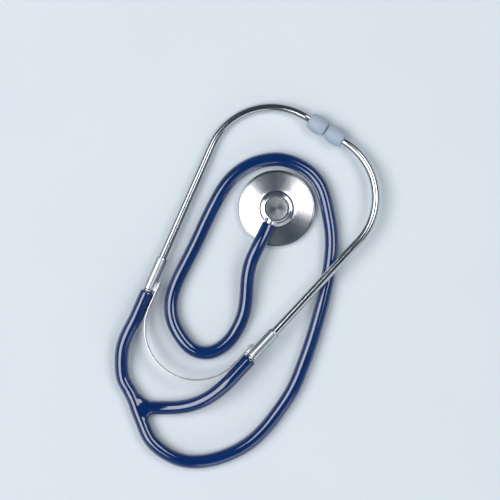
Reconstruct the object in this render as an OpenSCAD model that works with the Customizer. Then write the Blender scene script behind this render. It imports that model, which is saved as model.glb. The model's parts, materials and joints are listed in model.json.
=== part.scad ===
// Toy stethoscope lying flat: single-head chestpiece, one-piece Y hose, sprung metal ear tubes.
// Millimetres, +Z up. The origin is the centre of the chestpiece's listening face, on the floor.

/* [Chestpiece] */
// Diameter over the retaining rim
head_d = 46; // [40:0.5:52]
// Height of the retaining rim
rim_h = 4.2; // [3.4:0.1:6]
// Wall of the retaining rim, seen as a ring round the head
rim_wall = 1.4; // [1:0.1:2.5]
// Thickness of the rim's lip under the diaphragm
lip_t = 0.6; // [0.4:0.1:1.2]
// Reach of the rim's lip under the diaphragm
lip_reach = 2.2; // [1.4:0.1:4]
// Thickness of the diaphragm, which is formed to lie flush with the lip
diaphragm_t = 0.5; // [0.2:0.05:1]
// Width of the head's skirt, which presses the diaphragm on the lip
skirt_w = 2; // [1.2:0.1:4]
// Rise of the head's conical top from the rim to the boss
cone_rise = 1.8; // [0.8:0.1:4]
// Depth of the air chamber over the diaphragm
chamber_depth = 2; // [1:0.1:3]
// Diameter of the boss at its foot
boss_foot_d = 20; // [18:0.5:24]
// Diameter of the boss at its top
boss_top_d = 16.4; // [12:0.2:17.5]
// How far the boss stands over the hose
boss_proud = 0.3; // [0:0.1:2]
// Depth of the shallow dish in the boss's top
dish_depth = 0.4; // [0.3:0.1:1.5]
// Direction in which the stem leaves the head, in degrees
stem_heading = 244; // [235:1:250]
// Outer diameter of the stem
stem_d = 5; // [4:0.1:5.6]
// Bore of the stem and of the air way under it
stem_bore = 3; // [2:0.1:3.6]
// Length of the stem inside the hose
stem_grip = 18; // [10:1:20]

/* [Hose] */
// Outer diameter of the hose
tube_od = 8.4; // [7.6:0.1:9.6]
// Bore of the hose
tube_id = 5; // [3.5:0.1:6]
// Straight length of the hose past the end of the stem
head_end_past = 2; // [1:0.5:4]
// Gap between the hose and the top of the head
hose_over_head = 0.6; // [0.3:0.1:2]
// Length of the Y's arms
y_arm_l = 9; // [7.5:0.5:11]
// Straight length of the hose past the end of an ear tube
ear_end_past = 2; // [1:0.5:4]

/* [Ear tubes] */
// Outer diameter of the ear tubes
arm_d = 5; // [4:0.1:5.6]
// Wall of the ear tubes
arm_wall = 0.7; // [0.4:0.05:1]
// Angle of each ear tube to the line of symmetry
arm_angle = 9.6; // [6:0.1:12]
// Straight length from the hose end to the bend
arm_straight = 95; // [80:1:110]
// Radius of the bend
bend_r = 39; // [32:0.5:44]
// Straight length from the bend to the ear tip
arm_end_l = 2.3; // [0.5:0.1:6]
// Length of the ear tube inside the hose end
arm_grip = 14; // [8:0.5:16]
// Height of the stop bead over the tube at the hose end
bead_h = 0.7; // [0.5:0.05:1]
// Width of the stop bead
bead_w = 1.6; // [1:0.1:2.4]

/* [Leaf spring] */
// Height of the hose ends over the crown of the spring
spring_depth = 32.8; // [28:0.2:36]
// Thickness of the leaf
leaf_t = 0.9; // [0.6:0.05:1.4]
// Width of the leaf
leaf_w = 6.5; // [5:0.5:8]
// Gap between the leaf and the hose ends
leaf_gap = 0.4; // [0.3:0.05:1]
// Length of the clips on the ear tubes
clip_l = 20; // [14:1:26]
// Wall of the clips
clip_wall = 0.9; // [0.6:0.05:1.2]
// Width of the slit down each clip
clip_slit = 1.6; // [1:0.1:2.5]
// Length of the foot that joins a clip to the leaf
clip_foot_l = 6; // [4:0.5:10]

/* [Ear tips] */
// Length of an ear tip
tip_l = 11.4; // [10:0.2:13]
// Largest diameter of an ear tip
tip_d = 11; // [9:0.2:12]
// Diameter of an ear tip where it meets the tube
tip_base_d = 8; // [7:0.2:8.6]
// Diameter of an ear tip's outer end
tip_end_d = 7; // [6:0.2:8]
// Sound hole in an ear tip
tip_hole_d = 2.4; // [1.6:0.1:3]
// Depth of the tube in the ear tip
tip_grip = 7; // [4:0.5:8]
// Gap between the two ear tips at rest
tip_gap = 0.5; // [0.3:0.1:3]

/* [Hidden] */
$fn = 72;

navy = [0.03, 0.12, 0.38];
bright_metal = [0.82, 0.84, 0.86];
pale_tip = [0.70, 0.72, 0.78];
clear_disc = [0.86, 0.87, 0.88];

// Clearances: a snug seat in one body, a running fit across a joint, faces and floor kept apart
seat_gap = 0.02;
run_gap = 0.05;
face_gap = 0.1;
floor_gap = 0.3;
// How far a cut runs past the face it opens
past = 1;

// Chestpiece heights and radii
head_r = head_d / 2;
skirt_r = head_r - rim_wall;
skirt_z = lip_t + diaphragm_t;
cone_top_z = rim_h + cone_rise;
tube_r = tube_od / 2;
stem_z = cone_top_z + hose_over_head + tube_r;
boss_top_z = stem_z + tube_r + boss_proud;
boss_edge_r = 0.8;
rim_edge_r = 0.9;
edge_steps = 5;
dish_steps = 6;
// The boss has a short spigot, slimmer than the hose, that the hose butts on
spigot_step = 0.7;
spigot_proud = 0.2;
spigot_end = boss_foot_d / 2 + spigot_proud;
hose_start = spigot_end + face_gap;
head_end_l = stem_grip + head_end_past;
stem_dir = level(stem_heading);

// The hose lies on the floor: x, y and the lift over the floor, from the chestpiece to the Y
main_route = [
    [-17, -39, 5], [-18, -51, 2.4], [-19.5, -62, 0.6], [-24, -73, 0], [-31, -81.5, 0], [-40, -86, 0],
    [-49.5, -84.5, 0], [-57, -77, 0], [-62, -67, 0], [-63, -56, 0], [-60, -45, 0], [-54, -32.5, 0],
    [-47.5, -19.5, 0], [-41.5, -6.5, 0], [-35, 6.5, 0], [-27.5, 17.5, 0], [-17, 25.5, 0], [-5, 29.2, 0],
    [5, 29, 0], [14, 25.5, 0], [21, 20.5, 0], [26, 14, 0], [29, 6, 0], [31, -3, 0], [32.8, -15, 0],
    [32.5, -29, 0], [30.5, -42, 0], [27.5, -56, 0], [24, -69, 0], [20, -82, 0], [15.5, -94.5, 0],
    [10, -107.5, 0], [2, -120, 0], [-7, -131.5, 0], [-17.5, -141, 0], [-30, -147.5, 0],
    [-43.5, -151, 0], [-56.5, -150.5, 0], [-67.5, -145.5, 0], [-75.5, -138, 0]
];
left_route = [[-91.2, -102.8, 0.4], [-92.6, -93.5, 1.6], [-92, -84, 3.1], [-88.5, -74, 4.4]];
right_route = [[-63, -119, 0.8], [-52, -117.5, 2.6], [-42, -113.5, 5.2], [-33.5, -107.5, 8]];
route_sides = 12;

// The Y lies on the floor: a straight run from the main tube to the left branch, and a side arm
// for the right branch, a step slimmer than the run
y_centre_x = -83.6;
y_centre_y = -119;
y_centre = [y_centre_x, y_centre_y, tube_r];
y_left_heading = 111;
y_main_heading = y_left_heading + 180;
y_right_heading = 0;
y_side_step = 0.15;

// The ear tubes lie in one plane, whose frame has its origin at the spring's crown
// and its +Y along the line of symmetry. The plane tilts so that the right tube clears the hose.
crown_x = -64.5;
crown_y = -97;
heading = -33.1;
tilt_x = -3.8;
tilt_y = -2.2;
// Distance from the right hose end to where that ear tube crosses the hose
crossing_at = 70;
crossing_gap = 0.5;

// The ear tube draws in a little at its bend, and more at the nipple for the ear tip.
// Each stretch runs a lap into the wall of the one before it.
arm_r = arm_d / 2;
bore_r = arm_r - arm_wall;
bend_step = 0.05;
nipple_step = 0.2;
arm_lap = 1;
nipple_r = arm_r - nipple_step;
bend_angle = 90 + arm_angle;
lap_angle = asin(arm_lap / bend_r);
bend_end = along_bend(bend_angle);
// The hose ends stand as far apart as it takes for the ear tips to meet
arm_half_gap = turn_z(bend_end, arm_angle).x + arm_end_l + tip_l + tip_gap / 2;
arm_foot = [-arm_half_gap, spring_depth, 0];
ear_end_l = arm_grip + ear_end_past;
tip_y = arm_to_plane(bend_end).y;
bead_at = face_gap;
bead_r = arm_r + bead_h;
clip_at = bead_at + bead_w + face_gap;
clip_in_r = arm_r + run_gap;
clip_out_r = clip_in_r + clip_wall;
leaf_offset = tube_r + leaf_gap + leaf_t / 2;
leaf_foot = arm_to_plane([leaf_offset, 0, 0]);
leaf_r = (-leaf_foot.x * cos(arm_angle) - leaf_foot.y * sin(arm_angle)) / (1 - sin(arm_angle));
leaf_top = clip_at + clip_foot_l;
leaf_straight_l = leaf_top + (leaf_foot - [0, leaf_r, 0]) * turn_z([0, 1, 0], arm_angle);
leaf_steps = 32;
tip_steps = 10;

// The plane comes down until the first of these points is at the height it needs
rest_points = [
    [arm_to_plane(along_bend(bend_angle / 2)), arm_r + floor_gap],
    [[0, tip_y, 0], tip_d / 2 + floor_gap],
    [mirrored(arm_to_plane([0, crossing_at, 0])), tube_od + crossing_gap + arm_r]
];
crown_z = max([for (p = rest_points) p[1] - tilted(p[0]).z]);

function turn_x(v, a) = [v.x, v.y * cos(a) - v.z * sin(a), v.y * sin(a) + v.z * cos(a)];
function turn_y(v, a) = [v.x * cos(a) + v.z * sin(a), v.y, v.z * cos(a) - v.x * sin(a)];
function turn_z(v, a) = [v.x * cos(a) - v.y * sin(a), v.x * sin(a) + v.y * cos(a), v.z];
function mirrored(v) = [-v.x, v.y, v.z];
function along_bend(a) = [bend_r * (1 - cos(a)), arm_straight + bend_r * sin(a), 0];
function arm_to_plane(v) = arm_foot + turn_z(v, arm_angle);
function tilted(v) = turn_y(turn_x(turn_z(v, heading), tilt_x), tilt_y);
function plane_to_floor(v) = [crown_x, crown_y, crown_z] + tilted(v);
function lifted(route) = [for (p = route) [p.x, p.y, p.z + tube_r]];
function level(a) = [cos(a), sin(a), 0];
function y_mouth(a) = y_centre + y_arm_l * level(a);
function unit(v) = v / norm(v);
function arc(centre, r, from, to, steps) = [
    for (i = [0:steps])
        let (a = from + (to - from) * i / steps)
        centre + r * [cos(a), sin(a)]
];

// Directions along a route: the ends square to what they meet, the rest from the neighbours
function route_dirs(route, first, last) = [
    for (i = [0:len(route) - 1])
        i == 0 ? first : i == len(route) - 1 ? last : unit(route[i + 1] - route[i - 1])
];
function ring(centre, dir, r) =
    let (side = unit(cross(dir, [0, 0, 1])), up = cross(side, dir))
    [for (k = [0:route_sides - 1])
        let (a = 360 * k / route_sides)
        centre + r * (cos(a) * side + sin(a) * up)];

// A hose swept along a route: an outer and an inner wall, closed by a ring at each end
module swept_hose(route, first, last) {
    dirs = route_dirs(route, first, last);
    rings = len(route);
    n = route_sides;
    walls = [for (r = [tube_r, tube_id / 2], i = [0:rings - 1]) each ring(route[i], dirs[i], r)];
    inner = rings * n;
    end = (rings - 1) * n;
    faces = [
        for (i = [0:rings - 2], k = [0:n - 1])
            let (a = i * n + k, b = i * n + (k + 1) % n)
            each [[a, b, b + n], [a, b + n, a + n],
                  [inner + a, inner + b + n, inner + b], [inner + a, inner + a + n, inner + b + n]],
        for (k = [0:n - 1])
            let (a = k, b = (k + 1) % n)
            each [[a, inner + a, inner + b], [a, inner + b, b],
                  [end + a, end + inner + b, end + inner + a], [end + a, end + b, end + inner + b]]
    ];
    polyhedron(walls, faces);
}

// A pipe along +X
module pipe(out_r, in_r, from, to) {
    rotate([0, 90, 0])
        difference() {
            translate([0, 0, from]) cylinder(r = out_r, h = to - from);
            translate([0, 0, from - past]) cylinder(r = in_r, h = to - from + 2 * past);
        }
}

module on_stem() {
    translate([0, 0, stem_z]) rotate([0, 0, stem_heading]) children();
}

module chestpiece_head() {
    color(bright_metal)
        difference() {
            union() {
                rotate_extrude() polygon(head_profile());
                on_stem()
                    rotate([0, 90, 0]) cylinder(r = tube_r - spigot_step, h = spigot_end);
            }
            translate([0, 0, skirt_z]) cylinder(d = stem_bore, h = stem_z - skirt_z);
            on_stem()
                translate([-stem_bore, 0, 0])
                    rotate([0, 90, 0])
                        cylinder(r = stem_d / 2 + seat_gap, h = stem_bore + spigot_end + past);
        }
}

// Half section of the head: chamber, skirt, conical top, boss with a rounded edge and a dished top
function head_profile() =
    let (
        edge_z = boss_top_z - boss_edge_r,
        edge_x = boss_top_d / 2 - boss_edge_r,
        dish_r = edge_x - boss_edge_r / 2,
        dish_sphere = (dish_r * dish_r + dish_depth * dish_depth) / (2 * dish_depth),
        dish_a = asin(dish_r / dish_sphere)
    )
    concat(
        [[0, skirt_z + chamber_depth], [skirt_r - skirt_w, skirt_z], [skirt_r - seat_gap, skirt_z],
         [skirt_r - seat_gap, rim_h], [boss_foot_d / 2, cone_top_z]],
        arc([edge_x, edge_z], boss_edge_r, 0, 90, edge_steps),
        arc([0, boss_top_z - dish_depth + dish_sphere], dish_sphere, 270 + dish_a, 270, dish_steps)
    );

module chestpiece_stem() {
    color(bright_metal)
        on_stem() pipe(stem_d / 2, stem_bore / 2, stem_bore / 2, hose_start + stem_grip);
}

module diaphragm() {
    edge_r = skirt_r - seat_gap;
    face_r = skirt_r - lip_reach - face_gap;
    wall_r = face_r - diaphragm_t;
    color(clear_disc)
        rotate_extrude()
            polygon([
                [0, 0], [face_r, 0], [face_r, lip_t], [edge_r, lip_t], [edge_r, skirt_z], [wall_r, skirt_z],
                [wall_r, diaphragm_t], [0, diaphragm_t]
            ]);
}

module retaining_rim() {
    color(bright_metal)
        rotate_extrude()
            polygon(concat(
                [[skirt_r - lip_reach, 0]],
                arc([head_r - rim_edge_r, rim_edge_r], rim_edge_r, 270, 360, edge_steps),
                arc([head_r - rim_edge_r, rim_h - rim_edge_r], rim_edge_r, 0, 90, edge_steps),
                [[skirt_r, rim_h], [skirt_r, lip_t], [skirt_r - lip_reach, lip_t]]
            ));
}

module tube_head_end() {
    color(navy)
        on_stem() pipe(tube_r, stem_d / 2 + run_gap, hose_start, hose_start + head_end_l);
}

module main_tube() {
    start = [0, 0, stem_z] + (hose_start + head_end_l) * stem_dir;
    route = concat([start], lifted(main_route), [y_mouth(y_main_heading)]);
    color(navy) swept_hose(route, stem_dir, -level(y_main_heading));
}

// A run with a side arm, both hollow
module y_junction() {
    color(navy)
        translate(y_centre)
            difference() {
                y_arms(tube_r, y_arm_l);
                y_arms(tube_id / 2, y_arm_l + past);
            }
}

module y_arms(r, length) {
    rotate([0, 90, y_left_heading]) cylinder(r = r, h = 2 * length, center = true);
    rotate([0, 90, y_right_heading]) cylinder(r = r - y_side_step, h = length);
}

module in_plane() {
    translate([crown_x, crown_y, crown_z])
        rotate([tilt_x, tilt_y, 0])
            rotate([0, 0, heading]) children();
}

// The left ear tube's frame: origin at the hose end, +Y along the tube, +X inwards
module on_arm(side) {
    in_plane()
        mirror([side == "right" ? 1 : 0, 0, 0])
            translate(arm_foot)
                rotate([0, 0, arm_angle]) children();
}

module branch_tube(side) {
    left = side == "left";
    from = left ? y_left_heading : y_right_heading;
    foot = arm_to_plane([0, -ear_end_l, 0]);
    low_end = plane_to_floor(left ? foot : mirrored(foot));
    high_end = plane_to_floor(left ? arm_foot : mirrored(arm_foot));
    route = concat([y_mouth(from)], lifted(left ? left_route : right_route), [low_end]);
    color(navy) swept_hose(route, level(from), unit(high_end - low_end));
}

module tube_end(side) {
    color(navy)
        on_arm(side) rotate([0, 0, 90]) pipe(tube_r, arm_r + run_gap, -ear_end_l, 0);
}

// A flat strip on edge: a round crown and two straight ends that run up to the clips' feet
module binaural_spring() {
    outer = leaf_edge(leaf_r + leaf_t / 2);
    inner = leaf_edge(leaf_r - leaf_t / 2);
    color(bright_metal)
        in_plane()
            linear_extrude(leaf_w, center = true)
                polygon(concat(outer, [for (i = [len(inner) - 1:-1:0]) inner[i]]));
}

function leaf_edge(r) =
    let (
        crown_arc = arc([0, leaf_r], r, 180 + arm_angle, 360 - arm_angle, leaf_steps),
        up = leaf_straight_l * [-sin(arm_angle), cos(arm_angle)]
    )
    concat([crown_arc[0] + up], crown_arc, [crown_arc[leaf_steps] + [-up.x, up.y]]);

// A rolled sleeve, slit on its outer side, with a foot for the end of the leaf
module spring_clip(side) {
    color(bright_metal)
        on_arm(side)
            difference() {
                union() {
                    rotate([-90, 0, 0]) translate([0, 0, clip_at]) cylinder(r = clip_out_r, h = clip_l);
                    translate([0, clip_at, -leaf_w / 2])
                        cube([leaf_offset - leaf_t / 2, clip_foot_l, leaf_w]);
                }
                rotate([-90, 0, 0])
                    translate([0, 0, clip_at - past]) cylinder(r = clip_in_r, h = clip_l + 2 * past);
                translate([-clip_out_r - past, clip_at - past, -clip_slit / 2])
                    cube([clip_out_r + past, clip_l + 2 * past, clip_slit]);
            }
}

// A bent metal pipe with a stop bead at the hose end and a slimmer nipple for the ear tip
module binaural_tube(side) {
    color(bright_metal)
        on_arm(side) {
            rotate([-90, 0, 0])
                rotate_extrude()
                    polygon([
                        [bore_r, -arm_grip], [arm_r, -arm_grip], [arm_r, bead_at], [bead_r, bead_at],
                        [bead_r, bead_at + bead_w], [arm_r, bead_at + bead_w], [arm_r, arm_straight],
                        [bore_r, arm_straight]
                    ]);
            translate([bend_r, arm_straight, 0])
                mirror([1, 0, 0])
                    rotate([0, 0, -lap_angle])
                        rotate_extrude(angle = lap_angle + bend_angle)
                            translate([bend_r, 0])
                                difference() {
                                    circle(r = arm_r - bend_step);
                                    circle(r = bore_r + bend_step);
                                }
            translate(bend_end)
                rotate([0, 0, 90 - bend_angle])
                    pipe(nipple_r, bore_r - nipple_step, -arm_lap, arm_end_l + tip_grip);
        }
}

// A soft barrel on the end of the tube: a socket for the tube and a sound hole through the rest
module ear_tip(side) {
    color(pale_tip)
        on_arm(side)
            translate(bend_end)
                rotate([0, 90, 90 - bend_angle])
                    translate([0, 0, arm_end_l])
                        rotate_extrude() polygon(tip_profile());
}

function tip_profile() =
    let (
        socket_r = nipple_r + run_gap,
        base_r = tip_base_d / 2,
        taper = tip_end_d / 2 - base_r
    )
    concat(
        [[socket_r, 0]],
        [for (i = [0:tip_steps])
            let (t = i / tip_steps, cone_r = base_r + taper * t, belly = sqrt(max(0, sin(180 * t))))
            [cone_r + (tip_d / 2 - cone_r) * belly, tip_l * t]],
        [[tip_hole_d / 2, tip_l], [tip_hole_d / 2, tip_grip + face_gap], [socket_r, tip_grip + face_gap]]
    );

chestpiece_head();
chestpiece_stem();
diaphragm();
retaining_rim();
tube_head_end();
main_tube();
y_junction();
branch_tube("left");  // left_branch_tube
branch_tube("right");  // right_branch_tube
tube_end("left");  // left_tube_end
tube_end("right");  // right_tube_end
binaural_spring();
spring_clip("left");  // left_spring_clip
spring_clip("right");  // right_spring_clip
binaural_tube("left");  // left_binaural_tube
binaural_tube("right");  // right_binaural_tube
ear_tip("left");  // left_ear_tip
ear_tip("right");  // right_ear_tip
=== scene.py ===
# The frame: the imported solids of the stethoscope, in metres.
# The chestpiece lies on the table at the origin, and the ear tubes point up the picture.
import json
import math

import bmesh
import bpy
import numpy as np
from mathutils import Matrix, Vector


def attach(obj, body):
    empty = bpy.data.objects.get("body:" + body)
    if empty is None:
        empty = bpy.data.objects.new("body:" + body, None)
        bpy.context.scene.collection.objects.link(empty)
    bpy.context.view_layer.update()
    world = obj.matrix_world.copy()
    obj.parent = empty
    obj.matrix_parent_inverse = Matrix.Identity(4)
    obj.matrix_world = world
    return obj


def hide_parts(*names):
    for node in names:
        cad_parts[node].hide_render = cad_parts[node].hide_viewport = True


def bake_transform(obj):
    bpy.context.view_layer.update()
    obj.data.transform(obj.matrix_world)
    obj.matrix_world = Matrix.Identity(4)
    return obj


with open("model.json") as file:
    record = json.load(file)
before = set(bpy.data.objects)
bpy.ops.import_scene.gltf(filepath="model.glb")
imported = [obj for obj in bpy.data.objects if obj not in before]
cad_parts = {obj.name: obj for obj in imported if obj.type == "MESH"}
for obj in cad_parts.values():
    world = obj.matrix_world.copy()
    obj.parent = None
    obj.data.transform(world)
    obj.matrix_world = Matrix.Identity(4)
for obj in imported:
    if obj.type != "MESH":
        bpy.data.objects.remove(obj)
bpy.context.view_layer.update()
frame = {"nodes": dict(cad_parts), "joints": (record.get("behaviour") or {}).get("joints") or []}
joints = {joint["name"]: joint for joint in frame["joints"]}
MM = 0.001


# The camera hangs over the table and looks straight down through a long lens.
# The square picture takes in 0.3 m of the table.
picture_side = 300 * MM
picture_middle = (-15.9 * MM, -24.8 * MM)
camera_height = 1200 * MM
lens_data = bpy.data.cameras.new("camera")
lens_data.sensor_width = 36
lens_data.lens = lens_data.sensor_width * camera_height / picture_side
camera = bpy.data.objects.new("camera", lens_data)
camera.location = (*picture_middle, camera_height)
bpy.context.scene.collection.objects.link(camera)
bpy.context.scene.camera = camera


# Main hose: soft glossy navy vinyl tube, extruded in one length. It runs free from the chestpiece,
# lies in loose loops on the table and ends in the Y, whose left arm carries on in the same curve.
hose_r = 4.2 * MM
hose_sides = 36
stem_at = np.array(joints["chestpiece_swivel"]["pos_m"])
stem_dir = np.array(joints["chestpiece_swivel"]["axis"])
hose_start = 10.3 * MM
head_end_l = 20 * MM
hose_exit = stem_at + (hose_start + head_end_l) * stem_dir
left_foot = np.array(joints["left_arm_twist"]["pos_m"])
left_dir = -np.array(joints["left_arm_twist"]["axis"])
ear_end_l = 16 * MM
left_grip = left_foot - ear_end_l * left_dir
y_centre = np.array((-83.6 * MM, -119 * MM, hose_r))
y_arm_l = 9 * MM
y_foot_l = 13 * MM
y_left_heading = 111
y_main_heading = y_left_heading + 180
navy_deep = (0.0007, 0.013, 0.085)
navy_pale = (0.0014, 0.036, 0.17)

# Each point is x, y and the height of the hose's underside over the table, in millimetres
main_route = [
    (-17, -39, 5), (-18, -51, 2.4), (-19.5, -62, 0.6), (-24, -73, 0), (-31, -81.5, 0),
    (-40, -86, 0), (-49.5, -84.5, 0), (-57, -77, 0), (-62, -67, 0), (-63, -56, 0),
    (-60, -45, 0), (-54, -32.5, 0), (-47.5, -19.5, 0), (-41.5, -6.5, 0), (-35, 6.5, 0),
    (-27.5, 17.5, 0), (-17, 25.5, 0), (-5, 29.2, 0), (5, 29, 0), (14, 25.5, 0),
    (21, 20.5, 0), (26, 14, 0), (29, 6, 0), (31, -3, 0), (32.8, -15, 0),
    (32.5, -29, 0), (30.5, -42, 0), (27.5, -56, 0), (24, -69, 0), (20, -82, 0),
    (15.5, -94.5, 0), (10, -107.5, 0), (2, -120, 0), (-7, -131.5, 0), (-17.5, -141, 0),
    (-30, -147.5, 0), (-43.5, -151, 0), (-56.5, -150.5, 0), (-67.5, -145.5, 0), (-75.5, -138, 0),
]
left_route = [(-91.2, -102.8, 0.4), (-92.6, -93.5, 1.6), (-92, -84, 3.1), (-88.5, -74, 4.4)]


def level(heading):
    """The level direction at that angle from the picture's right."""
    angle = math.radians(heading)
    return np.array((math.cos(angle), math.sin(angle), 0))


def laid(route):
    """Points of a hose's centre line, in metres, from a route along its underside."""
    return [np.array((x, y, lift)) * MM + (0, 0, hose_r) for x, y, lift in route]


def smooth_line(points, first, last, step=0.5 * MM):
    """Points a step apart on the cubic spline through these ones, which sets off and arrives as told."""
    points = np.array(points)
    gap = np.linalg.norm(np.diff(points, axis=0), axis=1)
    count = len(points)
    system = np.eye(count)
    pull = np.zeros((count, 3))
    pull[0] = first
    pull[-1] = last
    for i in range(1, count - 1):
        before, after = gap[i - 1], gap[i]
        system[i, i - 1:i + 2] = after, 2 * (before + after), before
        slope_in = (points[i] - points[i - 1]) / before
        slope_out = (points[i + 1] - points[i]) / after
        pull[i] = 3 * (before * slope_out + after * slope_in)
    slope = np.linalg.solve(system, pull)
    line = [points[:1]]
    for i in range(count - 1):
        t = np.linspace(0, 1, round(gap[i] / step) + 2)[1:, None]
        leave = (1 + 2 * t) * points[i] + t * gap[i] * slope[i]
        arrive = (3 - 2 * t) * points[i + 1] - (1 - t) * gap[i] * slope[i + 1]
        line.append((1 - t) ** 2 * leave + t ** 2 * arrive)
    return np.concatenate(line)


def far_along(line):
    """How far each point of a line is from its start."""
    return np.append(0, np.cumsum(np.linalg.norm(np.diff(line, axis=0), axis=1)))


def where_passes(line, point):
    """How far along a line it comes nearest to a point."""
    return far_along(line)[np.argmin(np.linalg.norm(line - point, axis=1))]


def read_at(places, gone, values):
    """Points or directions at places along a line, from the ones known at other distances."""
    return np.stack([np.interp(places, gone, values[:, k]) for k in range(3)], axis=1)


def stretch(line, start, end, step=1.5 * MM):
    """The part of a line between two distances along it, in even steps."""
    places = np.linspace(start, end, round((end - start) / step) + 2)
    return read_at(places, far_along(line), line)


def shaded(mesh, straight, crease):
    """Smooths a mesh up to a crease angle, and keeps where each point lies on a straight length."""
    mesh.shade_smooth()
    mesh.set_sharp_from_angle(angle=math.radians(crease))
    layer = mesh.attributes.new("straight", "FLOAT_VECTOR", "POINT")
    layer.data.foreach_set("vector", straight.astype(np.float32).ravel())


def skin(name, rings, straight, caps):
    """A piece whose mesh runs through rings of points, closed at both ends where it has caps."""
    rows, sides = rings.shape[:2]
    faces = []
    for i in range(rows - 1):
        for k in range(sides):
            a, b = i * sides + k, i * sides + (k + 1) % sides
            faces.append((a, a + sides, b + sides, b))
    if caps:
        faces.append(range(sides))
        faces.append(range(rows * sides - 1, (rows - 1) * sides - 1, -1))
    mesh = bpy.data.meshes.new(name)
    mesh.from_pydata(rings.reshape(-1, 3).tolist(), [], faces)
    shaded(mesh, straight, crease=35)
    piece = bpy.data.objects.new(name, mesh)
    bpy.context.scene.collection.objects.link(piece)
    return piece


def threaded(name, line, places, sections, up, caps):
    """A skin on a line: the flat section for each place stands square to the line there."""
    line = np.array(line)
    gone = far_along(line)
    centre = read_at(places, gone, line)
    along = read_at(places, gone, np.gradient(line, gone, axis=0))
    side = np.cross(along, up)
    side /= np.linalg.norm(side, axis=1)[:, None]
    over = np.cross(side, along)
    over /= np.linalg.norm(over, axis=1)[:, None]
    rings = centre[:, None] + sections[..., :1] * side[:, None] + sections[..., 1:] * over[:, None]
    depth = np.broadcast_to(places[:, None, None], sections[..., :1].shape)
    return skin(name, rings, np.concatenate([sections, depth], axis=2), caps)


def turned(name, line, outline, sides, up=(0, 0, 1), caps=False):
    """A round skin on a line: each place and radius of the outline makes one ring."""
    places, radii = np.array(outline).T
    turn = np.linspace(0, 2 * np.pi, sides, endpoint=False)
    around = np.stack([np.cos(turn), np.sin(turn)], axis=1)
    return threaded(name, line, places, radii[:, None, None] * around, up, caps)


class Wire:
    """A node's output that can stand in sums: each operator adds the Math node that does it."""

    def __init__(self, socket):
        self.socket = socket

    @classmethod
    def node(cls, tree, kind, settings, sockets, output=0):
        """A new node: first its settings, then a value or a wire for each socket that is named."""
        made = tree.nodes.new("ShaderNode" + kind)
        for name, value in settings.items():
            setattr(made, name, value)
        for name, value in sockets.items():
            if isinstance(value, Wire):
                tree.links.new(value.socket, made.inputs[name])
            else:
                made.inputs[name].default_value = value
        return cls(made.outputs[output])

    def math(self, operation, *terms):
        return Wire.node(self.socket.id_data, "Math", {"operation": operation}, dict(enumerate(terms)))

    def __add__(self, other):
        return self.math("ADD", self, other)

    def __radd__(self, other):
        return self.math("ADD", other, self)

    def __sub__(self, other):
        return self.math("SUBTRACT", self, other)

    def __rsub__(self, other):
        return self.math("SUBTRACT", other, self)

    def __mul__(self, other):
        return self.math("MULTIPLY", self, other)

    def __rmul__(self, other):
        return self.math("MULTIPLY", other, self)

    def __pow__(self, other):
        return self.math("POWER", self, other)

    def __abs__(self):
        return self.math("ABSOLUTE", self)

    def at_least(self, other):
        return self.math("MAXIMUM", self, other)

    def into(self, shader, name):
        self.socket.id_data.links.new(self.socket, shader.inputs[name])


def new_finish(name, **constants):
    """A material, its tree and its shader, with the values that are the same all over set on it."""
    finish = bpy.data.materials.new(name)
    finish.use_nodes = True
    shader = finish.node_tree.nodes["Principled BSDF"]
    for socket, value in constants.items():
        shader.inputs[socket.replace("_", " ")].default_value = value
    return finish, finish.node_tree, shader


def on_part(tree):
    """Where a point lies on the part."""
    return Wire.node(tree, "TexCoord", {}, {}, "Object")


def on_length(tree):
    """Where a point would lie if its piece were pulled straight."""
    return Wire.node(tree, "Attribute", {"attribute_name": "straight"}, {}, "Vector")


def noise(tree, place, scale, detail=2.0):
    """Soft random patches, from 0 to 1, of about one over the scale in metres."""
    return Wire.node(tree, "TexNoise", {}, {"Vector": place, "Scale": scale, "Detail": detail})


def stretched(tree, place, factors):
    """A place with its three coordinates multiplied, so that a pattern draws out along one of them."""
    return Wire.node(tree, "VectorMath", {"operation": "MULTIPLY"}, {0: place, 1: factors})


def blended(tree, share, first, second):
    """A colour between two others."""
    sockets = {0: share, 6: (*first, 1), 7: (*second, 1)}
    return Wire.node(tree, "Mix", {"data_type": "RGBA"}, sockets, 2)


def raised(tree, height, depth):
    """The surface direction that a height between 0 and 1, of that depth in metres, gives."""
    return Wire.node(tree, "Bump", {}, {"Height": height, "Distance": depth})


hose_vinyl, tree, shader = new_finish("hose_vinyl", Specular_IOR_Level=1.0, Coat_Weight=0.5,
                                      Coat_Roughness=0.04)
clouds = noise(tree, on_part(tree), 70, 3)
waves = noise(tree, on_part(tree), 110)
die_lines = noise(tree, stretched(tree, on_length(tree), (1, 1, 0.03)), 1800)
bloom = noise(tree, on_length(tree), 900, 4)
blended(tree, clouds, navy_deep, navy_pale).into(shader, "Base Color")
(0.05 + 0.04 * clouds + 0.04 * bloom).into(shader, "Roughness")
raised(tree, waves + 0.05 * die_lines + 0.02 * bloom, 0.16 * MM).into(shader, "Normal")

run_points = [hose_exit, *laid(main_route), y_centre + y_arm_l * level(y_main_heading), y_centre,
              y_centre + y_arm_l * level(y_left_heading), *laid(left_route), left_grip]
run_line = smooth_line(run_points, stem_dir, left_dir)
centre_at = where_passes(run_line, y_centre)
main_l = centre_at - y_foot_l
main_line = stretch(run_line, 0, main_l)
# Two rings close to its first end keep that end square
main_rings = [0, 0.2 * MM, 0.5 * MM, *far_along(main_line)[1:]]
main_hose = turned("main_hose", run_line, [(s, hose_r) for s in main_rings], hose_sides, caps=True)
main_hose.data.materials.append(hose_vinyl)
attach(main_hose, "tubing")
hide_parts("main_tube")


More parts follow.
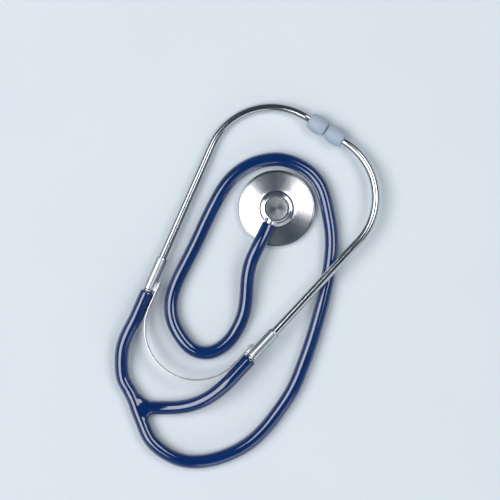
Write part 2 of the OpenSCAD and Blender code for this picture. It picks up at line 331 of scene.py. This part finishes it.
# Hose end at the chestpiece: the first stretch of the same tube, held straight by the metal stem
# that it is pushed over. Its cut end is slightly rounded and butts on the head's spigot.
hose_bore_r = 2.55 * MM
stem_grip = 18 * MM
cut_round_l = 0.4 * MM
cut_round_h = 0.5 * MM
end_lap = 0.6 * MM
lap_sink = 0.06 * MM


def oval(centre, half_along, half_across, start, end, count):
    """Points of an outline round a centre, between two angles from the way along it."""
    angles = np.radians(np.linspace(start, end, count))
    return [(centre[0] + half_along * math.cos(a), centre[1] + half_across * math.sin(a)) for a in angles]


head_end_outline = [(stem_grip, hose_bore_r), (0, hose_bore_r)]
head_end_outline += oval((cut_round_l, hose_r - cut_round_h), cut_round_l, cut_round_h, 180, 90, 3)
head_end_outline += [(head_end_l, hose_r), (head_end_l + end_lap, hose_r - lap_sink),
                     (head_end_l + end_lap, hose_bore_r), (stem_grip, hose_bore_r)]
head_end = [stem_at + hose_start * stem_dir, hose_exit + end_lap * stem_dir]
hose_head_end = turned("hose_head_end", head_end, head_end_outline, hose_sides)
hose_head_end.data.materials.append(hose_vinyl)
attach(hose_head_end, "tubing")
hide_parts("tube_head_end")


# Y junction: moulded in one with the hoses, so that its three arms flow into each other, with a
# wide web in the upper crotch and a tight one below. It is one skin, cut square where the hoses go on.
right_foot = np.array(joints["right_arm_twist"]["pos_m"])
right_dir = np.array(joints["right_arm_twist"]["axis"])
right_grip = right_foot - ear_end_l * right_dir
right_route = [(-63, -119, 0.8), (-52, -117.5, 2.6), (-42, -113.5, 5.2), (-33.5, -107.5, 8)]
y_right = level(0)
side_points = [y_centre, y_centre + y_arm_l * y_right, *laid(right_route), right_grip]
side_line = smooth_line(side_points, y_right, right_dir)
web_reach = 15 * MM
upper_web = 9.5 * MM
lower_web = 4.5 * MM
cut_past = 3 * MM
arm_step = 0.8 * MM


def away_from(line, points):
    """How far each point is from the nearest place on a line, and the direction from there."""
    start, step = line[:-1], np.diff(line, axis=0)
    share = np.einsum("pki,ki->pk", points[:, None] - start, step) / np.einsum("ki,ki->k", step, step)
    offset = points[:, None] - start - np.clip(share, 0, 1)[..., None] * step
    far = np.linalg.norm(offset, axis=2)
    nearest = far.argmin(axis=1)
    rows = np.arange(len(points))
    return far[rows, nearest], offset[rows, nearest] / far[rows, nearest, None]


def ease(share):
    """A share held between 0 and 1, with no kink at either end."""
    held = np.clip(share, 0, 1)
    return held * held * (3 - 2 * held)


def over_skin(points, run, side):
    """How far points stand over the skin of two hoses, which a web joins where they face each other."""
    run_far, run_out = away_from(run, points)
    side_far, side_out = away_from(side, points)
    # 1 where the two skins face the same way, 0 where they face across each other
    alike = (run_out * side_out).sum(axis=1)
    no_web = 0.95
    full_web = 0.05
    facing = ease((no_web - alike) / (no_web - full_web))
    upper = ease(0.5 + (points - y_centre) @ level(y_left_heading) / (4 * hose_r))
    web = facing * (lower_web + (upper_web - lower_web) * upper)
    over_run = run_far - hose_r
    over_side = side_far - hose_r
    corner = np.hypot(np.maximum(web - over_run, 0), np.maximum(web - over_side, 0))
    return np.maximum(web, np.minimum(over_run, over_side)) - corner


def melted(name, run, side, mouths):
    """The one skin of a run and a side hose, cut square at each mouth's place and direction."""
    rough = bmesh.new()
    for arm in (run, side):
        tube = turned(name + "_arm", arm, [(s, hose_r) for s in far_along(arm)], sides=24, caps=True)
        rough.from_mesh(tube.data)
        bpy.data.objects.remove(tube)
    mesh = bpy.data.meshes.new(name)
    rough.to_mesh(mesh)
    rough.free()
    piece = bpy.data.objects.new(name, mesh)
    bpy.context.scene.collection.objects.link(piece)
    remesh = piece.modifiers.new("one_skin", "REMESH")
    remesh.mode = "VOXEL"
    remesh.voxel_size = 0.55 * MM
    shown = piece.evaluated_get(bpy.context.evaluated_depsgraph_get())
    piece.data = bpy.data.meshes.new_from_object(shown)
    piece.modifiers.clear()
    # Each pass brings the points nearer to the skin, down the slope of their height over it
    settled = np.array([vertex.co for vertex in piece.data.vertices])
    probe = 0.02 * MM
    least_slope = 0.5
    for _ in range(6):
        here = over_skin(settled, run, side)[:, None]
        ahead = [over_skin(settled + probe * axis, run, side) for axis in np.eye(3)]
        slope = (np.stack(ahead, axis=1) - here) / probe
        settled -= here * slope / np.maximum((slope ** 2).sum(axis=1), least_slope ** 2)[:, None]
    piece.data.vertices.foreach_set("co", settled.ravel())
    cut = bmesh.new()
    cut.from_mesh(piece.data)
    for place, outwards in mouths:
        everything = cut.verts[:] + cut.edges[:] + cut.faces[:]
        bmesh.ops.bisect_plane(cut, geom=everything, plane_co=place, plane_no=outwards, clear_outer=True)
    bmesh.ops.dissolve_degenerate(cut, dist=0.005 * MM, edges=cut.edges)
    bmesh.ops.holes_fill(cut, edges=cut.edges)
    cut.to_mesh(piece.data)
    cut.free()
    cut_points = np.array([vertex.co for vertex in piece.data.vertices])
    shaded(piece.data, cut_points, crease=60)
    return piece


left_cut = centre_at + web_reach
y_run = stretch(run_line, main_l - cut_past, left_cut + cut_past, arm_step)
y_side = stretch(side_line, 0, web_reach + cut_past, arm_step)
left_mouth = stretch(run_line, left_cut, left_cut + cut_past)
right_mouth = stretch(side_line, web_reach, web_reach + cut_past)
y_mouths = [(main_line[-1], main_line[-2] - main_line[-1]),
            (left_mouth[0], left_mouth[1] - left_mouth[0]),
            (right_mouth[0], right_mouth[1] - right_mouth[0])]
hose_y = melted("hose_y", y_run, y_side, y_mouths)
hose_y.data.materials.append(hose_vinyl)
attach(hose_y, "tubing")
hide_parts("y_junction")


# Branch hoses: the two short arms above the Y, of the same vinyl. Each rises from the table, and
# its straight end, with a rounded lip, is stretched over the foot of a metal ear tube.
lip_r = 0.45 * MM
mouth_flare = 0.35 * MM
mouth_depth = 0.25 * MM
socket_l = 14.5 * MM


def branch_hose(name, line, foot, mouth, nodes):
    """A branch from its mouth at the Y to the lip at the foot of its ear tube."""
    curve = stretch(line, mouth, far_along(line)[-1])
    branch = np.concatenate([curve, np.linspace(curve[-1], foot, 12)[1:]])
    gone = far_along(branch)
    outline = [(s, hose_r) for s in gone[:-1]]
    outline += oval((gone[-1] - lip_r, hose_r - lip_r), lip_r, lip_r, 90, 0, 3)
    outline += [(gone[-1], hose_bore_r + mouth_flare), (gone[-1] - mouth_depth, hose_bore_r),
                (gone[-1] - socket_l, hose_bore_r)]
    hose = turned(name, branch, outline, hose_sides, caps=True)
    hose.data.materials.append(hose_vinyl)
    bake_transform(hose)
    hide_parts(*nodes)


branch_hose("left_branch_hose", run_line, left_foot, left_cut,
            ("left_branch_tube", "left_tube_end"))
branch_hose("right_branch_hose", side_line, right_foot, web_reach,
            ("right_branch_tube", "right_tube_end"))


# Chestpiece head: bright aluminium, turned on a lathe, with fine rings left by the tool. A shallow
# cone rises to a tapered boss with a dished top, and a short spigot on its side takes the stem.
lathe_sides = 128
upright = [(0, 0, 0), (0, 0, 20 * MM)]
aluminium_dull = (0.78, 0.80, 0.83)
aluminium_bright = (0.90, 0.91, 0.93)

# A point of an outline is how far along the axis it is, and how far from it
axis_r = 0.3 * MM
chamber_z = 3.1 * MM
skirt_z = 1.1 * MM
skirt_in_r = 19.6 * MM
skirt_r = 21.58 * MM
rim_h = 4.2 * MM
cone_low = np.array((4.26, 21.2)) * MM
cone_top = np.array((6, 10.5)) * MM
fillet_r = 1.25 * MM
boss_foot = np.array((6.5, 9.95)) * MM
boss_top = np.array((14.5, 8.2)) * MM
boss_edge = 0.8 * MM
dish_r = 7 * MM
dish_depth = 0.4 * MM
dish_z = boss_top[0] + boss_edge - dish_depth

# The fillet's centre is its radius off the cone and off the boss's wall
cone_lean = math.atan2(cone_top[0] - cone_low[0], cone_low[1] - cone_top[1])
boss_lean = math.atan2(boss_foot[1] - boss_top[1], boss_top[0] - boss_foot[0])
off_cone = np.array((math.cos(cone_lean), math.sin(cone_lean)))
off_boss = np.array((math.sin(boss_lean), math.cos(boss_lean)))
fillet_reach = [off_cone @ cone_top + fillet_r, off_boss @ boss_foot + fillet_r]
fillet_at = np.linalg.solve([off_cone, off_boss], fillet_reach)

head_outline = [(chamber_z, axis_r), (skirt_z, skirt_in_r), (skirt_z, skirt_r), (rim_h, skirt_r), cone_low]
head_outline += [cone_low + t * (cone_top - cone_low) for t in (0.3, 0.58, 0.81)]
head_outline += oval(fillet_at, fillet_r, fillet_r, 180 + math.degrees(cone_lean),
                     270 - math.degrees(boss_lean), 12)
head_outline += [boss_foot + t * (boss_top - boss_foot) for t in (0.25, 0.5, 0.75)]
head_outline += oval((boss_top[0], boss_top[1] - boss_edge), boss_edge, boss_edge, 90, 0, 7)
dish_rings = np.linspace(dish_r - 0.05 * MM, axis_r, 8)
head_outline += [(dish_z + dish_depth * (r / dish_r) ** 2, r) for r in dish_rings]
chest_head = turned("chest_head", upright, head_outline, lathe_sides, up=(0, 1, 0), caps=True)

spigot_root = 5 * MM
spigot_end = 10.2 * MM
spigot_r = 3.5 * MM
spigot_edge = 0.35 * MM
stem_r = 2.5 * MM
flare_l = 1.45 * MM
flare_h = 0.45 * MM
flare_from = spigot_end - spigot_edge
spigot_outline = [(spigot_root, spigot_r + flare_h)]
spigot_outline += [(flare_from - flare_l * t, spigot_r + flare_h * t ** 2) for t in (1, 0.66, 0.31)]
spigot_outline += oval((flare_from, spigot_r - spigot_edge), spigot_edge, spigot_edge, 90, 0, 3)
spigot_outline.append((spigot_end, stem_r))
spigot_line = [stem_at, stem_at + spigot_end * stem_dir]
spigot = turned("chest_spigot", spigot_line, spigot_outline, sides=48, caps=True)


def within(tree, value, full, none):
    """1 where a value is under the first limit, 0 where it is over the second, and smooth between."""
    sockets = {"Value": value, "From Min": none, "From Max": full}
    return Wire.node(tree, "MapRange", {"interpolation_type": "SMOOTHSTEP"}, sockets)


turned_metal, tree, shader = new_finish("turned_aluminium", Metallic=1.0, Anisotropic=0.55)
level_place = stretched(tree, on_part(tree), (1, 1, 0))
off_axis = Wire.node(tree, "VectorMath", {"operation": "LENGTH"}, {0: level_place}, "Value")
tool_rings = Wire.node(tree, "TexNoise", {"noise_dimensions": "1D"},
                       {"W": off_axis, "Scale": 4200, "Detail": 2})
haze = noise(tree, on_part(tree), 160, 4)
on_dish = within(tree, off_axis, full=6.6 * MM, none=7.1 * MM)
blended(tree, haze, aluminium_dull, aluminium_bright).into(shader, "Base Color")
(0.1 + 0.06 * haze + 0.04 * tool_rings + 0.07 * on_dish).into(shader, "Roughness")
raised(tree, tool_rings, 0.006 * MM).into(shader, "Normal")
for piece in (chest_head, spigot):
    piece.data.materials.append(turned_metal)
    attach(piece, "chestpiece")
    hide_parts("chestpiece_head")


# Diaphragm: a thin formed disc of pale plastic under the head. Its face is flush with the rim's
# lip, and its flange is trapped between the lip and the head's skirt.
lip_t = 0.6 * MM
disc_t = 0.5 * MM
disc_face_r = 19.3 * MM
disc_edge = 0.2 * MM
disc_wall_r = disc_face_r - disc_t
flange_r = 21.5 * MM
flange_gap = 0.02 * MM
flange_top = skirt_z - flange_gap
plastic_dull = (0.66, 0.68, 0.70)
plastic_pale = (0.76, 0.77, 0.78)
disc_outline = [(0, axis_r)]
disc_outline += oval((disc_edge, disc_face_r - disc_edge), disc_edge, disc_edge, 180, 90, 3)
disc_outline += [(lip_t, disc_face_r), (lip_t, flange_r), (flange_top, flange_r),
                 (flange_top, disc_wall_r), (disc_t, disc_wall_r), (disc_t, axis_r)]
disc = turned("diaphragm_disc", upright, disc_outline, sides=96, up=(0, 1, 0), caps=True)
disc_plastic, tree, shader = new_finish("disc_plastic", IOR=1.49)
cast = noise(tree, on_part(tree), 130, 3)
grain = noise(tree, on_part(tree), 5200, 3)
blended(tree, cast, plastic_dull, plastic_pale).into(shader, "Base Color")
(0.36 + 0.2 * grain).into(shader, "Roughness")
raised(tree, grain, 0.02 * MM).into(shader, "Normal")
disc.data.materials.append(disc_plastic)
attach(disc, "chestpiece")
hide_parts("diaphragm")


# Retaining rim: a chromed ring with rounded edges, pressed over the skirt of the head. Its lip
# turns in under the diaphragm and holds it.
rim_r = 23 * MM
rim_edge = 0.9 * MM
rim_in_r = 21.6 * MM
lip_in_r = 19.4 * MM
lip_break = 0.15 * MM
top_break = 0.2 * MM
chrome_dull = (0.50, 0.53, 0.57)
chrome_bright = (0.64, 0.66, 0.69)
rim_outline = [(lip_t, lip_in_r), (lip_break, lip_in_r), (0, lip_in_r + lip_break)]
rim_outline += oval((rim_edge, rim_r - rim_edge), rim_edge, rim_edge, 180, 90, 8)
rim_outline += oval((rim_h - rim_edge, rim_r - rim_edge), rim_edge, rim_edge, 90, 0, 8)
rim_outline += [(rim_h, rim_in_r + top_break), (rim_h - lip_break, rim_in_r), (lip_t, rim_in_r),
                (lip_t, lip_in_r)]
rim = turned("retaining_ring", upright, rim_outline, lathe_sides, up=(0, 1, 0))
bright_chrome, tree, shader = new_finish("bright_chrome", Metallic=1.0)
film = noise(tree, on_part(tree), 90, 4)
ripple = noise(tree, on_part(tree), 240)
rubs = noise(tree, stretched(tree, on_part(tree), (1, 0.12, 1)), 2600, 3)
blended(tree, film, chrome_dull, chrome_bright).into(shader, "Base Color")
(0.1 + 0.06 * film + 0.04 * rubs).into(shader, "Roughness")
raised(tree, ripple + 0.04 * rubs, 0.035 * MM).into(shader, "Normal")
rim.data.materials.append(bright_chrome)
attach(rim, "chestpiece")
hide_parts("retaining_rim")


# Chestpiece stem: a plain chromed pipe pressed into the head. The hose hides nearly all of it,
# so its solid stays as it is and takes the rim's finish.
stem = frame["nodes"]["chestpiece_stem"]
stem.data.materials.clear()
stem.data.materials.append(bright_chrome)


# Ear tubes: chromed brass pipe, bent once on a former so that the tips meet. A rolled bead stops
# each at its hose end, and the far end is drawn in to a nipple for the tip.
tip_dir = np.array(joints["left_tip_turn"]["axis"])
arm_r = 2.5 * MM
arm_bore_r = 1.8 * MM
arm_straight = 95 * MM
arm_grip = 14 * MM
foot_break_l = 0.2 * MM
foot_break_h = 0.15 * MM
bead_at = 0.1 * MM
bead_w = 1.6 * MM
bead_h = 0.7 * MM
ring_gap = 4 * MM
bend_r = 39 * MM
bend_arm_r = 2.46 * MM
nipple_l = 9.3 * MM
nipple_r = 2.3 * MM
nipple_edge_l = 0.3 * MM
nipple_edge_r = 2.1 * MM
nipple_bore_r = 1.6 * MM
shoulder_before = 0.4 * MM
shoulder_past = 0.3 * MM
bore_depth = 4 * MM


def arm_line(foot, ahead, to_tip):
    """The centre line of an ear tube: up its straight, round its bend and into its tip."""
    inwards = to_tip - ahead * (to_tip @ ahead)
    inwards /= np.linalg.norm(inwards)
    bend_from = foot + arm_straight * ahead
    angles = np.linspace(0, math.acos(to_tip @ ahead), 61)[:, None]
    bend = bend_from + bend_r * ((1 - np.cos(angles)) * inwards + np.sin(angles) * ahead)
    up = np.linspace(foot - arm_grip * ahead, bend_from, 74)[:-1]
    nipple = np.linspace(bend[-1], bend[-1] + nipple_l * to_tip, 10)[1:]
    return np.concatenate([up, bend, nipple])


def ear_tube(name, foot, ahead, to_tip, body, node):
    """A bent pipe with its bead just past the hose end and its nipple inside the tip."""
    line = arm_line(foot, ahead, to_tip)
    length = far_along(line)[-1]
    bend_at = arm_grip + arm_straight
    nipple_at = length - nipple_l
    outline = [(bore_depth, arm_bore_r), (0, arm_bore_r), (0, arm_r - foot_break_h), (foot_break_l, arm_r)]
    outline += oval((arm_grip + bead_at + bead_w / 2, arm_r), bead_w / 2, bead_h, 180, 0, 11)
    outline += [(s, arm_r) for s in np.arange(arm_grip + ring_gap, bend_at, ring_gap)]
    outline += [(s, bend_arm_r) for s in np.linspace(bend_at, nipple_at - shoulder_before, 56)]
    outline += [(nipple_at + shoulder_past, nipple_r), (length - nipple_edge_l, nipple_r),
                (length, nipple_edge_r), (length, nipple_bore_r), (length - bore_depth, nipple_bore_r)]
    tube = turned(name, line, outline, sides=36, caps=True)
    tube.data.materials.append(bright_chrome)
    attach(tube, body)
    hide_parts(node)


ear_tube("left_ear_tube", left_foot, left_dir, tip_dir, "left_arm", "left_binaural_tube")
ear_tube("right_ear_tube", right_foot, right_dir, -tip_dir, "right_arm", "right_binaural_tube")


# Ear tips: soft barrels of pale grey vinyl, moulded with a socket that is pushed over the nipple
# and a sound hole through the rounded end. A faint parting line runs along each side.
tip_l = 11.4 * MM
tip_r = 5.5 * MM
tip_base_r = 4 * MM
tip_end_r = 3.5 * MM
tip_face_in = 0.3 * MM
tip_socket_l = 7.1 * MM
tip_socket_r = 2.36 * MM
socket_break_l = 0.15 * MM
socket_break_h = 0.24 * MM
hole_r = 1.2 * MM
hole_round_l = 0.5 * MM
hole_round_h = 0.3 * MM
tip_grey = (0.37, 0.45, 0.55)
tip_pale = (0.45, 0.52, 0.62)

tip_outline = [(tip_socket_l, tip_socket_r), (socket_break_l, tip_socket_r),
               (0, tip_socket_r + socket_break_h), (0, tip_base_r - tip_face_in)]
for t in np.linspace(0.004, 0.996, 33):
    cone_r = tip_base_r + (tip_end_r - tip_base_r) * t
    tip_outline.append((tip_l * t, cone_r + (tip_r - cone_r) * math.sqrt(math.sin(math.pi * t))))
tip_outline.append((tip_l, tip_end_r - tip_face_in))
tip_outline += oval((tip_l - hole_round_l, hole_r + hole_round_h), hole_round_l, hole_round_h, 0, -90, 3)
tip_outline += [(tip_socket_l, hole_r), (tip_socket_l, tip_socket_r)]

tip_vinyl, tree, shader = new_finish("tip_vinyl", Subsurface_Weight=0.15, Subsurface_Scale=0.002,
                                     IOR=1.46)
milk = noise(tree, on_length(tree), 240, 3)
satin = noise(tree, on_length(tree), 6000)
off_parting = abs(Wire.node(tree, "SeparateXYZ", {}, {"Vector": on_length(tree)}, "Y"))
parting_line = within(tree, off_parting, full=0.05 * MM, none=0.16 * MM)
blended(tree, milk, tip_grey, tip_pale).into(shader, "Base Color")
(0.42 + 0.12 * milk).into(shader, "Roughness")
raised(tree, satin + 2 * milk + 3 * parting_line, 0.012 * MM).into(shader, "Normal")


def ear_tip(name, joint, ahead, body, node):
    """A barrel on the end of an ear tube, with its hole and its socket."""
    base = np.array(joints[joint]["pos_m"])
    tip = turned(name, [base, base + tip_l * ahead], tip_outline, sides=48)
    tip.data.materials.append(tip_vinyl)
    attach(tip, body)
    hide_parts(node)


ear_tip("left_soft_tip", "left_tip_turn", tip_dir, "left_tip", "left_ear_tip")
ear_tip("right_soft_tip", "right_tip_turn", -tip_dir, "right_tip", "right_ear_tip")


# Leaf spring: a flat strip of bright spring steel, stood on edge and bent round a former. It is cut in two
# at its crown here.
crown = np.array(joints["left_arm_spread"]["pos_m"])
plane_x = tip_dir
plane_y = left_dir - plane_x * (left_dir @ plane_x)
plane_y += right_dir - plane_x * (right_dir @ plane_x)
plane_y /= np.linalg.norm(plane_y)
plane_z = np.cross(plane_x, plane_y)
arm_lean = math.acos(left_dir @ plane_y)
left_in = math.cos(arm_lean) * plane_x + math.sin(arm_lean) * plane_y
right_in = -math.cos(arm_lean) * plane_x + math.sin(arm_lean) * plane_y
leaf_t = 0.9 * MM
leaf_w = 6.5 * MM
leaf_edge = 0.1 * MM
leaf_gap = 0.4 * MM
leaf_off = hose_r + leaf_gap + leaf_t / 2
clip_from = 1.8 * MM
clip_foot_l = 6 * MM
steel_dull = (0.62, 0.64, 0.67)
steel_bright = (0.82, 0.83, 0.85)

# The bow is the circle that both straight ends touch, and these run up to the ends of the clips' feet
leaf_foot = left_foot + leaf_off * left_in - crown
leaf_r = -(leaf_foot @ left_in) / (1 - math.sin(arm_lean))
leaf_end_l = clip_from + clip_foot_l + (leaf_foot - leaf_r * plane_y) @ left_dir


def strip(name, line, half_side, half_over, edge_r, up, bevel=0):
    """A bar of rounded oblong section on a line, drawn in at both ends where it has a bevel."""
    corners = []
    for start, side_sign, over_sign in ((0, 1, 1), (90, -1, 1), (180, -1, -1), (270, 1, -1)):
        corner = (side_sign * (half_side - edge_r), over_sign * (half_over - edge_r))
        corners += oval(corner, edge_r, edge_r, start, start + 90, 5)
    places = far_along(line)
    if bevel:
        places = np.insert(places, [1, len(places) - 1], [bevel, places[-1] - bevel])
    inset = np.ones((len(places), 2))
    inset[[0, -1]] = 1 - bevel / half_side, 1 - bevel / half_over
    return threaded(name, line, places, np.array(corners) * inset[:, None], up, caps=True)


spring_steel, tree, shader = new_finish("spring_steel", Metallic=1.0)
rolled = noise(tree, stretched(tree, on_length(tree), (1, 1, 0.02)), 5000, 3)
temper = noise(tree, on_length(tree), 120, 3)
blended(tree, temper, steel_dull, steel_bright).into(shader, "Base Color")
(0.14 + 0.14 * rolled + 0.06 * temper).into(shader, "Roughness")
raised(tree, rolled, 0.008 * MM).into(shader, "Normal")


def half_spring(name, outwards):
    """Half of the leaf, from its crown to the clip on one side."""
    centre = crown + leaf_r * plane_y
    angles = np.linspace(0, math.pi / 2 - arm_lean, 49)[:, None]
    bow = centre + leaf_r * (np.sin(angles) * outwards - np.cos(angles) * plane_y)
    ahead = math.cos(arm_lean) * plane_y + math.sin(arm_lean) * outwards
    line = np.concatenate([bow, np.linspace(bow[-1], bow[-1] + leaf_end_l * ahead, 9)[1:]])
    half = strip(name, line, leaf_t / 2, leaf_w / 2, leaf_edge, plane_z)
    half.data.materials.append(spring_steel)
    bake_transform(half)
    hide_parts("binaural_spring")


half_spring("left_half_spring", -plane_x)
half_spring("right_half_spring", plane_x)


# Spring clips: sleeves of thin steel, rolled round the ear tubes with their slit on the outside.
# A folded foot on the inside of each takes the end of the leaf, which a round-headed rivet holds.
clip_l = 20 * MM
clip_in_r = 2.55 * MM
clip_out_r = 3.45 * MM
clip_middle_r = (clip_in_r + clip_out_r) / 2
clip_half_wall = (clip_out_r - clip_in_r) / 2
clip_edge = 0.2 * MM
slit_w = 1.6 * MM
foot_root = 2.9 * MM
foot_edge = 0.4 * MM
foot_bevel = 0.12 * MM
rivet_r = 1.25 * MM
rivet_edge = 0.1 * MM
rivet_rise = 0.59 * MM
sheet_dull = (0.52, 0.55, 0.60)
sheet_bright = (0.74, 0.77, 0.81)
clip_steel, tree, shader = new_finish("clip_steel", Metallic=1.0)
rolled = noise(tree, stretched(tree, on_length(tree), (1, 1, 0.03)), 4200, 3)
tarnish = noise(tree, on_length(tree), 200, 4)
blended(tree, tarnish, sheet_dull, sheet_bright).into(shader, "Base Color")
(0.2 + 0.14 * rolled + 0.08 * tarnish).into(shader, "Roughness")
raised(tree, rolled + 0.5 * tarnish, 0.012 * MM).into(shader, "Normal")


def sleeve_section(half):
    """The open ring of a sleeve's wall, of that half thickness, with round lips at the slit."""
    edge = math.asin((slit_w / 2 + clip_half_wall) / clip_middle_r)
    turn = np.linspace(edge, 2 * math.pi - edge, 41)
    lip_turn = np.linspace(0, math.pi, 7)[1:-1]
    wall = [(clip_middle_r + half, a, 0) for a in turn]
    wall += [(clip_middle_r + half * math.cos(b), turn[-1], half * math.sin(b)) for b in lip_turn]
    wall += [(clip_middle_r - half, a, 0) for a in turn[::-1]]
    wall += [(clip_middle_r - half * math.cos(b), turn[0], -half * math.sin(b)) for b in lip_turn]
    r, a, past = np.array(wall).T
    return np.stack([r * np.cos(a) - past * np.sin(a), r * np.sin(a) + past * np.cos(a)], axis=1)


def spring_clip(name, foot, ahead, inwards, body, node):
    """A slit sleeve with rounded edges, its foot and the rivet through the leaf."""
    over = np.cross(ahead, inwards)
    start = foot + clip_from * ahead
    rounding = oval((clip_edge, clip_edge), clip_edge, clip_edge, 180, 270, 3)
    rows = rounding + [(s, 0) for s in np.linspace(1 * MM, clip_l - 1 * MM, 4)]
    rows += [(clip_l - s, inset) for s, inset in rounding[::-1]]
    rings = []
    for at, inset in rows:
        section = sleeve_section(clip_half_wall - inset)
        rings.append(start + at * ahead - section[:, :1] * inwards + section[:, 1:] * over)
    local = np.array(rings) - start
    straight = np.stack([local @ inwards, local @ over, local @ ahead], axis=2)
    sleeve = skin(name + "_sleeve", np.array(rings), straight, caps=True)
    foot_middle = start + clip_foot_l / 2 * ahead
    leaf_back = foot_middle + (leaf_off - leaf_t / 2) * inwards
    leaf_face = foot_middle + (leaf_off + leaf_t / 2) * inwards
    block = np.linspace(foot_middle + foot_root * inwards, leaf_back, 3)
    shoe = strip(name + "_foot", block, clip_foot_l / 2, leaf_w / 2, foot_edge, over, foot_bevel)
    dome = [(0, rivet_r)] + oval((rivet_edge, 0), rivet_rise, rivet_r, 90, 5, 5)
    rivet_line = [leaf_face, leaf_face + (rivet_edge + rivet_rise) * inwards]
    rivet = turned(name + "_rivet", rivet_line, dome, sides=24, caps=True)
    for piece in (sleeve, shoe, rivet):
        piece.data.materials.append(clip_steel)
        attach(piece, body)
        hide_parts(node)


spring_clip("left_clip", left_foot, left_dir, left_in, "left_branch", "left_spring_clip")
spring_clip("right_clip", right_foot, right_dir, right_in, "right_branch", "right_spring_clip")


# The table: a wide pale board with a faint mottle, plain enough to leave the part alone.
# It lies at the height of the diaphragm's face.
table_half = 9
table_grey = (0.70, 0.77, 0.83)
table_pale = (0.75, 0.81, 0.86)
table_corners = [(x * table_half, y * table_half, 0) for x, y in ((-1, -1), (1, -1), (1, 1), (-1, 1))]
floor_mesh = bpy.data.meshes.new("table")
floor_mesh.from_pydata(table_corners, [], [(0, 1, 2, 3)])
floor = bpy.data.objects.new("table", floor_mesh)
bpy.context.scene.collection.objects.link(floor)
table_paint, tree, shader = new_finish("table_paint", Roughness=0.7)
mottle = noise(tree, on_part(tree), 14, 3)
blended(tree, mottle, table_grey, table_pale).into(shader, "Base Color")
floor_mesh.materials.append(table_paint)


# Studio light: a large soft box on the left, one on the right and a dim one in front on the right.
# The room is dim overhead and paler towards the horizon, so that bright metal has something to show.
middle = Vector((*picture_middle, 0))


def soft_box(name, at, length, height, glow):
    """A lamp the size of a soft box, level along its length, that faces the middle of the part."""
    data = bpy.data.lights.new(name, "AREA")
    data.shape = "RECTANGLE"
    data.size = length
    data.size_y = height
    data.energy = glow * math.pi * length * height
    lamp = bpy.data.objects.new(name, data)
    lamp.location = at
    lamp.rotation_mode = "QUATERNION"
    lamp.rotation_quaternion = (middle - Vector(at)).to_track_quat("-Z", "Y")
    bpy.context.scene.collection.objects.link(lamp)


soft_box("left_box", at=(-1.74, -0.21, 2.68), length=3, height=2.18, glow=4.1)
soft_box("right_box", at=(1.56, 0.64, 2.72), length=2.25, height=1.4, glow=3.6)
soft_box("near_box", at=(1.3, -2.6, 1.4), length=3, height=1.8, glow=0.9)

glow_overhead = 0.05
glow_low = 0.2
dimmer_far_off = 0.16
blue_overhead = (0.3, 0.62, 1)
pale_low = (0.82, 0.92, 1)
room = bpy.data.worlds.new("room")
bpy.context.scene.world = room
room.use_nodes = True
tree = room.node_tree
backdrop = tree.nodes["Background"]
towards = Wire.node(tree, "TexCoord", {}, {}, "Generated")
upwards = Wire.node(tree, "SeparateXYZ", {}, {"Vector": towards}, "Z")
far_off = Wire.node(tree, "SeparateXYZ", {}, {"Vector": towards}, "Y")
low = 1 - upwards.at_least(0)
(glow_overhead + low * (glow_low - dimmer_far_off * far_off)).into(backdrop, "Strength")
blended(tree, low ** 0.4, blue_overhead, pale_low).into(backdrop, "Color")


# What the camera sees is shown without a film look.
bpy.context.scene.view_settings.view_transform = "Standard"
